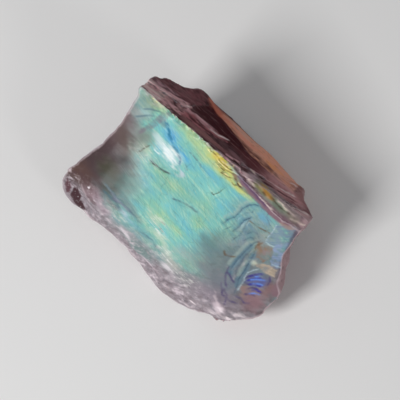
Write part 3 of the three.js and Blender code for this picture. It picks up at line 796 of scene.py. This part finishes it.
# Dark maroon panels are painted reflection; tan panels at the back are painted light shining through.
CLEAVAGE_REFLECTION_AND_BACKLIGHT_PANELS = [
    ([(-4.8, 2), (-1, 2.5), (-0.78, 2.94), (-0.62, 3.8), (-0.4, 4.8), (-0.3, 7), (-4.8, 7)],
     (132, 80, 86), 0.85),
    ([(-4.8, -0.3), (-2.6, -0.1), (-2.2, 1.6), (-4.8, 0.9)], (246, 212, 208), 0.85),
    ([(-4.8, 0.9), (-2.2, 1.6), (-1.9, 2.5), (-4.8, 2)], (188, 144, 152), 0.8),
    ([(-2.7, -0.1), (-1, 0.6), (-0.7, 2.4), (-2.4, 1.7)], (226, 176, 178), 0.8),
    ([(-0.6, 2.9), (0.3, 2.5), (2.4, 2.9), (3.6, 3.4), (2.9, 4.2), (2, 4.9), (0.8, 5.4), (-0.2, 5.6)],
     (66, 4, 18), 0.95),
    ([(-1.2, 0.7), (0.8, 1.2), (2.3, 2.3), (2.3, 2.6), (0.4, 2.3), (-0.9, 2.1)], (184, 114, 120), 0.7),
    ([(-0.5, 5.7), (0.9, 5.6), (0.9, 7.2), (-0.5, 7.2)], (206, 122, 100), 0.7),
    ([(0.8, 5.6), (3.9, 3.5), (3.9, 7.2), (0.8, 7.2)], (240, 168, 142), 0.5),
    ([(3.8, 3.55), (5.7, 3.2), (5.7, 7.2), (3.8, 7.2)], (246, 174, 146), 0.5),
    ([(5.6, 3.3), (7.4, 3.4), (7.4, 6), (5.6, 7.2)], (240, 180, 162), 0.5),
    ([(5.2, 0.9), (7.2, 1.1), (9.2, 1.9), (9, 2.7), (5.4, 1.5)], (120, 74, 80), 0.85),
]
# The dark facets at the lower left lie partly on the front of the rim, so they are drawn as
# they look in a view that is tilted 20 degrees from straight on to the sheen face. A cover
# above 1 leaves no worn gaps in them.
RIM_VIEW = (0.94, -0.342)
RIM_PANELS = [
    ([(-3.3, 7.45), (-2.65, 7.7), (-1.75, 8.2), (-2.4, 8.4), (-3.2, 8.1)], (62, 34, 40), 4),
    ([(-4, 7.4), (-3.5, 7.6), (-3.3, 8), (-3.5, 8.1), (-3.8, 7.8)], (88, 56, 64), 3),
]
PANEL_EDGE = 0.07


def panel(face_map, corners):
    """1 inside an outline that bends one way only, 0 outside it, with a narrow soft edge."""
    middle = np.mean(corners, axis=0)
    inside = np.full(len(along), FAR)
    for start, end in zip(corners, corners[1:] + corners[:1]):
        side = np.subtract(end, start)
        side = side / np.linalg.norm(side)
        across = (face_map[0] - start[0]) * side[1] - (face_map[1] - start[1]) * side[0]
        inwards = (middle[0] - start[0]) * side[1] - (middle[1] - start[1]) * side[0]
        inside = np.minimum(inside, across * np.sign(inwards))
    return ramp(inside, -PANEL_EDGE, PANEL_EDGE)


def any_panel(face_map, panels):
    """1 inside any of the panels."""
    return np.max([panel(face_map, corners) for corners, _, _ in panels], axis=0)


def tint(colour):
    """A colour as a paint maker writes it, from 0 to 255, made linear for the renderer."""
    shares = [part / 255 for part in colour]
    return (*(s / 12.92 if s <= 0.04045 else ((s + 0.055) / 1.055) ** 2.4 for s in shares), 1.0)


def lay(paint, share, colour):
    """Lays a colour over the paint of each point, by a share for each point."""
    return paint * (1 - share[:, None]) + np.array(tint(colour)) * share[:, None]


# %% Paint the patches, the panels and the lines
back_edge = np.maximum(cleavage_face, back_rim) * ramp(cleavage_map[1], 8, 6.8)
patches = np.zeros((len(along), 4))
for face, face_map, spots in (
    (sheen_face, sheen_map, SHEEN_PATCHES),
    (back_edge, cleavage_map, CLEAVAGE_REFLECTION_AND_BACKLIGHT_PATCHES),
    (bevel_zone, bevel_map, BEVEL_PATCHES),
):
    for *oval, colour, cover in spots:
        patches = lay(patches, face * cover * spot(face_map, oval, soft=0.8), colour)

rim_view = RIM_VIEW[0] * down + RIM_VIEW[1] * depth
jagged = 0.07 * wobble((0.35, 0.35, 0.35), 2)
worn = 0.75 + 0.9 * wobble((0.5, 0.3, 0.3), 9)
for face, over, panels in (
    (sheen_face, down, SHEEN_PANELS),
    (back_edge * (1 - bevel_zone), depth, CLEAVAGE_REFLECTION_AND_BACKLIGHT_PANELS),
    (ramp(depth, 4, 3) * ramp(down, 6.6, 7.4), rim_view, RIM_PANELS),
):
    for corners, colour, cover in panels:
        share = face * panel((along + jagged, over - 2 * jagged), corners)
        patches = lay(patches, share * np.clip(cover * worn, 0.2, 1), colour)

breaks = np.clip(0.85 + 0.9 * wobble((0.45, 0.25, 0.25), 4), 0.45, 1)
for name, (width, _, colour, cover, _) in {**SHEEN_LINES, **CLEAVAGE_LINES}.items():
    unbroken = breaks if width < 0.15 else np.maximum(breaks, 0.85)
    patches = lay(patches, cover * unbroken * np.minimum(1.4 * near_lines[name], 1), colour)

right_edge = ramp(along, 8.3, 9) * ramp(depth, 6, 3)
patches = lay(patches, 0.8 * hidden_break * right_edge * (1 - patches[:, 3]), (186, 154, 158))
# Painted light shining through the back rim, in tan.
painted_rim_backlight = 0.5 * back_rim * (1 - cleavage_face) * ramp(along, -0.5, 1.5)
patches = lay(patches, painted_rim_backlight, (250, 190, 164))
covered = patches[:, 3]
keep("patch_cover", covered)
keep("patch_colour", patches / np.maximum(covered, 0.001)[:, None])
print("patches cover", round(covered.mean(), 3), "of the points")

# %% Places with a finish of their own
# Calm stone has no pale mottling: the dark facets, and the clear left end of the sheen face.
facets = any_panel((along, rim_view), RIM_PANELS) * ramp(depth, 4, 3)
clear_end = 0.75 * ramp(along, 0, -1.6) * ramp(down, 7.2, 6.2) * sheen_face
# Milky flecks, partly painted highlight streaks below the ridge and low on the sheen face.
milky = np.max([spot(sheen_map, oval) for oval in MILKY_AND_HIGHLIGHT_SPOTS], axis=0)
keep("calm", np.maximum(facets, clear_end))
keep("window", any_panel((along, down), CLEAR_PANELS) * sheen_face)
keep("milky", milky * sheen_face)
print("milky points:", int((milky * sheen_face > 0.5).sum()))

# %% [markdown]
# ## Shader maths
# The sheen is painted with a procedural material of many small steps. Written as nodes one by
# one, that can't be read, so a wire from a node is wrapped in a class that knows Python's
# operators: `1 - mask` or `streaks * 0.3 + patch` adds the Math nodes itself. Colours are
# mixed by Mix nodes, and every other node comes from one method.

# %% Wires


def math_node(operation, swapped=False):
    """A method that adds a Math node on a wire and another term."""
    def method(wire, other):
        terms = (other, wire) if swapped else (wire, other)
        return Wire.node("Math", {"operation": operation}, dict(enumerate(terms)))
    return method


class Wire:
    """An output of a node in the stone's material, for use in expressions."""

    tree = None
    __add__ = __radd__ = math_node("ADD")
    __mul__ = __rmul__ = math_node("MULTIPLY")
    __sub__ = math_node("SUBTRACT")
    __rsub__ = math_node("SUBTRACT", swapped=True)

    def __init__(self, socket):
        self.socket = socket

    @classmethod
    def plug(cls, node, sockets):
        """Gives a node's sockets their values, or links wires to them."""
        for name, value in sockets.items():
            if isinstance(value, Wire):
                cls.tree.links.new(value.socket, node.inputs[name])
            else:
                node.inputs[name].default_value = value

    @classmethod
    def node(cls, kind, settings=None, sockets=None, output=0):
        """Adds a node, sets it and plugs in its sockets."""
        made = cls.tree.nodes.new("ShaderNode" + kind)
        for name, value in (settings or {}).items():
            setattr(made, name, value)
        cls.plug(made, sockets or {})
        return cls(made.outputs[output])


def mix(under, over, share):
    """One colour laid over another. Each is a wire, or a colour from 0 to 255."""
    under, over = (part if isinstance(part, Wire) else tint(part) for part in (under, over))
    # A Mix node has many sockets of the same name, so they are given by number.
    return Wire.node("Mix", {"data_type": "RGBA"}, {0: share, 6: under, 7: over}, output=2)


def rise(value, start, end):
    """0 before start and 1 after end, smooth in between. Start may be the larger one."""
    bounds = {"Value": value, "From Min": start, "From Max": end}
    return Wire.node("MapRange", {"interpolation_type": "SMOOTHSTEP"}, bounds)


def stretched(places, size, turn):
    """Places counted in grains, which have a size in mm along each crystal axis."""
    settings = {"Vector": places, "Rotation": (0, 0, turn), "Scale": size}
    return Wire.node("Mapping", {"vector_type": "TEXTURE"}, settings)


def grain_noise(size, turn=0.0, detail=4.0):
    """Noise from 0 to 1 whose grain has a size in mm along each crystal axis."""
    settings = {"Scale": 1.0, "Detail": detail, "Roughness": 0.55}
    return Wire.node("TexNoise", None, {"Vector": stretched(crystal, size, turn), **settings})


def net(places, size, turn):
    """How far a place lies from a net of fine lines: 0 on a line, in grains."""
    settings = {"Vector": stretched(places, size, turn), "Scale": 1.0}
    return Wire.node("TexVoronoi", {"feature": "DISTANCE_TO_EDGE"}, settings, output="Distance")


def attribute(name, output="Fac"):
    """A number or a colour that was kept for each point of the stone."""
    return Wire.node("Attribute", {"attribute_name": name}, output=output)


# %% [markdown]
# ## Grain of the material
# The material reads Object coordinates, in metres. One Mapping node turns them into mm along
# the crystal axes, and each noise is stretched along those axes, so that streaks run with the
# striations. The distance down the sheen face is bent a little by noise, so that the frost
# along the lower rim has no clean edge. The net of fine cracks lies in shaken places, which
# bends its lines.

# %% Start the material
HATCH_LINE_TURN = math.radians(42)
WISP_TURN = 0.5
SHAKE = (0.35, 0.35, 0.35)

moonstone = bpy.data.materials.new("rainbow_moonstone")
moonstone.use_nodes = True
Wire.tree = moonstone.node_tree
surface = moonstone.node_tree.nodes["Principled BSDF"]
stone.data.materials.clear()
stone.data.materials.append(moonstone)

crystal = Wire.node("Mapping", {"vector_type": "TEXTURE"}, {
    "Vector": Wire.node("TexCoord", output="Object"),
    "Location": RIDGE_MIDDLE,
    "Rotation": CRYSTAL_TURN,
    "Scale": (MM, MM, MM),
})
streaks = grain_noise((2.4, 0.16, 0.3), STRIATION_TURN)
fine_streaks = grain_noise((1.3, 0.06, 0.2), STRIATION_TURN, detail=3)
hatching = grain_noise((0.7, 0.08, 0.2), HATCHING_TURN)
clouds = grain_noise((1.6, 1.1, 1.1))
wisps = grain_noise((0.55, 0.3, 0.3), WISP_TURN)
specks = grain_noise((0.12, 0.12, 0.12), detail=2)
hatch_lines = grain_noise((0.9, 0.07, 0.3), HATCH_LINE_TURN, detail=2)

jitter = Wire.node("TexNoise", None, {"Vector": crystal, "Scale": 2.5, "Detail": 3}, output="Color")
shaken = Wire.node("VectorMath", {"operation": "MULTIPLY_ADD"}, {0: jitter, 1: SHAKE, 2: crystal})
crazing = rise(net(shaken, (1.5, 0.4, 0.6), HATCHING_TURN), 0.05, 0.0)

down_face = 0 - Wire.node("SeparateXYZ", None, {"Vector": crystal}, output="Y")
bent_down = down_face + (clouds - 0.5) * 0.5 + (streaks - 0.5) * 0.4
print(len(moonstone.node_tree.nodes), "nodes for the grain")

# %% [markdown]
# ## The sheen
# The thickness that was painted for each point is now added to a level one, with streaks and
# clouds in it, and a ramp of the film's colours turns it into paint.

# %% Film colours
FILM_COLOURS = [
    (0, (58, 60, 150)),
    (0.14, (66, 116, 184)),
    (0.3, (96, 172, 206)),
    (0.44, (118, 187, 186)),
    (0.56, (138, 193, 168)),
    (0.68, (170, 198, 146)),
    (0.8, (200, 196, 104)),
    (0.9, (216, 186, 62)),
    (1, (208, 150, 58)),
]
FILM_LEVEL = 0.47

thickness = (streaks - 0.5) * 0.2 + (clouds - 0.5) * 0.32 + (hatching - 0.5) * 0.16
thickness = thickness + attribute("film_shift") + FILM_LEVEL
film = Wire.node("ValToRGB", None, {"Fac": thickness}, output="Color")
stops = film.socket.node.color_ramp.elements
stops.remove(stops[1])
stops[0].color = tint(FILM_COLOURS[0][1])
for place, colour in FILM_COLOURS[1:]:
    stops.new(place).color = tint(colour)
pearl = attribute("sheen_left") * (streaks * 0.3 + 0.85)
print(len(FILM_COLOURS), "colours in the film")

# %% [markdown]
# ## Plain stone under the sheen
# Between and around the sheen, the stone is cloudy: a greyish, slightly pink white that is
# darker where it is clear and deep, and paler where it is frosted. The hidden sides, which
# have no sheen, are milky.

# %% Cloudy stone
CLEAR_STONE = (112, 98, 100)
CLOUDY_STONE = (142, 134, 140)
FROSTED_STONE = (155, 143, 150)
MILKY_STONE = ((160, 148, 154), (196, 187, 193))
# The cleavage face's dark maroon is a painted dark reflection in the glassy face.
CLEAVAGE_DARK_REFLECTION = ((104, 70, 74), (66, 34, 40))
BEVEL_STONE = ((134, 110, 118), (160, 142, 142))
PALE_MOTTLE = ((146, 130, 130), (222, 208, 216))
MILKY_VEIL = (206, 228, 222)
EDGE_LIGHT = (222, 204, 208)

on_sheen = attribute("sheen_face")
on_bevel = attribute("bevel_zone")
cover = attribute("patch_cover")
frayed = (hatching - 0.5) * 1.6 + (specks - 0.5) * 0.9
cleaved = attribute("cleavage_face")
on_cleavage = rise(cleaved + frayed * cleaved * (1 - cleaved) * 4, 0.3, 0.7)

frost = rise(bent_down, 6.6, 8.4) * (wisps * 0.9 + 0.25)
cloudy = mix(CLEAR_STONE, CLOUDY_STONE, rise(clouds * 0.6 + wisps * 0.4, 0.38, 0.62))
milky_back = mix(*MILKY_STONE, rise(clouds * 0.7 + wisps * 0.3, 0.4, 0.6))
plain = mix(cloudy, FROSTED_STONE, frost)
plain = mix(plain, milky_back, (1 - on_sheen) * (1 - on_cleavage) * 0.85)
veil = rise(streaks * 0.6 + hatching * 0.4, 0.47, 0.66) * 0.26
paint = mix(plain, mix(film, MILKY_VEIL, veil), pearl)

# %% [markdown]
# ## Coats of paint
# The rest is laid over the sheen coat by coat. Each coat is a colour and the share of it that
# is laid on, which is high where its grain and its face are.

# %% Lay the coats over each other
mottled = rise(wisps, 0.35, 0.65)
ragged = (fine_streaks * 0.6 + wisps * 0.4 - 0.5) * 1.6 * (1 - cover)
unlit = (1 - pearl) * (1 - on_cleavage) * (1 - attribute("calm"))
crumbly = unlit * (rise(clouds, 0.4, 0.62) * 0.9 + 0.25) * (on_sheen * 0.75 + 0.25)
pale_wisps = rise(wisps, 0.48, 0.68) * (frost * 0.5 + 0.28)
flecks = rise(fine_streaks * 0.55 + wisps * 0.45, 0.5, 0.6)
# Edges that stand proud get a painted highlight, partly a whitish wear.
painted_edge_highlight = rise(attribute("proud"), 0.3, 1.0) * (wisps * 0.5 + 0.1) * (on_sheen * 0.4 + 0.6)
COATS = {
    "crazing": ((70, 104, 112), crazing * on_sheen * 0.2),
    "grey streaks": ((84, 96, 96), rise(fine_streaks, 0.56, 0.72) * on_sheen * 0.22),
    # The cleavage face gets its painted dark reflection.
    "cleavage face": (mix(*CLEAVAGE_DARK_REFLECTION, mottled), on_cleavage),
    "bevel": (mix(*BEVEL_STONE, mottled), on_bevel),
    "patches": (attribute("patch_colour", "Color"), rise(cover + ragged, 0.05, 0.95)),
    "pale mottle": (mix(*PALE_MOTTLE, frost), pale_wisps * crumbly),
    "dark mottle": ((84, 66, 74), rise(wisps, 0.48, 0.34) * crumbly * 0.3),
    # Milky flecks, which also paint streaks into the highlights on the sheen face.
    "milky and highlight flecks": ((226, 232, 222), flecks * attribute("milky") * 0.5),
    # Darker and pinker streaks in the cleavage face's painted reflection.
    "dark cleavage": ((44, 20, 26), rise(fine_streaks, 0.52, 0.7) * on_cleavage * 0.28),
    "pink cleavage": ((206, 158, 156), rise(streaks, 0.54, 0.7) * on_cleavage * 0.2),
    # Painted glints on the frosted rim.
    "painted frost glints": ((246, 240, 242), rise(specks, 0.64, 0.74) * frost * on_sheen * 0.5),
    # Painted highlights on the edges that stand proud, partly a whitish wear.
    "edges": (EDGE_LIGHT, painted_edge_highlight),
    # Painted shade in the hollows.
    "hollows": ((60, 46, 50), rise(attribute("hollow"), 0.3, 1.0) * 0.25),
    "hatching": ((104, 132, 160), rise(hatch_lines, 0.5, 0.62) * attribute("window") * 0.5),
}
for colour, share in COATS.values():
    paint = mix(paint, colour, share)
print(len(COATS), "coats of paint:", ", ".join(COATS))

# %% Gloss
roughness = 0.42 + (fine_streaks - 0.5) * 0.1 - frost * 0.1 - on_cleavage * 0.2
relief_height = (fine_streaks - 0.5) * pearl * 0.4 + (specks - 0.5) * 0.25
bump = Wire.node("Bump", None, {"Strength": 0.5, "Distance": 0.01 * MM, "Height": relief_height})
Wire.plug(surface, {
    "Base Color": paint,
    "Roughness": roughness,
    "Metallic": pearl * 0.05,
    "Coat Weight": (1 - on_cleavage) * (frost * 0.5 + 0.04) + 0.03,
    "Coat Roughness": 0.15,
    "Normal": bump,
    "IOR": 1.53,
    "Transmission Weight": 0.07,
    "Specular IOR Level": 0.0,
})
print(len(moonstone.node_tree.nodes), "nodes in the material")

# %% [markdown]
# ## Floor, light and camera
# The stone lies on a plain pale floor. A large soft light stands where the sheen face throws
# it towards the camera, so that the sheen glows. The steep cleavage face is turned away from
# that light, and its dark colour is also a painted dark reflection.

# %% Floor
FLOOR_SIZE = 0.6
FLOOR_COLOUR = (0.8, 0.79, 0.78, 1)

bpy.ops.mesh.primitive_plane_add(size=FLOOR_SIZE, location=(0, 0, 0))
floor = bpy.context.object
floor.name = "floor"
pale = bpy.data.materials.new("pale_floor")
pale.use_nodes = True
pale_surface = pale.node_tree.nodes["Principled BSDF"]
pale_surface.inputs["Base Color"].default_value = FLOOR_COLOUR
pale_surface.inputs["Roughness"].default_value = 0.8
floor.data.materials.append(pale)

# %% Camera
AZIMUTH = math.radians(39.2)
ELEVATION = math.radians(71)
VIEW_WIDTH = 24.6 * MM
LENS = 300
SENSOR = 36
DISTANCE = VIEW_WIDTH * LENS / SENSOR

towards = Vector((
    math.sin(AZIMUTH) * math.cos(ELEVATION),
    -math.cos(AZIMUTH) * math.cos(ELEVATION),
    math.sin(ELEVATION),
))
right = Vector((math.cos(AZIMUTH), math.sin(AZIMUTH), 0))
upward = towards.cross(right)
target = RIDGE_MIDDLE + (right * 0.62 - upward * 4.44) * MM
camera_data = bpy.data.cameras.new("camera")
camera_data.lens = LENS
camera_data.clip_start = 0.01
camera = add_object("camera", camera_data)
turn = Matrix((right, upward, towards)).transposed()
camera.matrix_world = Matrix.Translation(target + towards * DISTANCE) @ turn.to_4x4()
bpy.context.scene.camera = camera
print("camera", round(DISTANCE, 3), "m away")

# %% Lights
STONE_MIDDLE = Vector((0, 0, 0.004))
STUDIO_COLOUR = (0.9, 0.92, 0.95, 1)
STUDIO_LIGHT = 0.3


def softbox(name, direction, distance, size, power):
    """A square area light that looks at the stone's middle."""
    data = bpy.data.lights.new(name, "AREA")
    data.size = size
    data.energy = power
    light = add_object(name, data)
    place = Vector(direction).normalized() * distance
    light.location = place + STONE_MIDDLE
    light.rotation_euler = place.to_track_quat("Z", "Y").to_euler()
    print(name, "light of", power, "W")


softbox("key", (-0.18, -0.74, 0.64), distance=0.22, size=0.07, power=0.38)
softbox("side", (0.9, -0.2, 0.6), distance=0.25, size=0.05, power=0.05)
world = bpy.data.worlds.new("studio")
world.use_nodes = True
studio = world.node_tree.nodes["Background"]
studio.inputs["Color"].default_value = STUDIO_COLOUR
studio.inputs["Strength"].default_value = STUDIO_LIGHT
bpy.context.scene.world = world
bpy.context.scene.view_settings.view_transform = "Standard"

# %% Hand the stone over
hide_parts("moonstone")
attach(stone, "root")
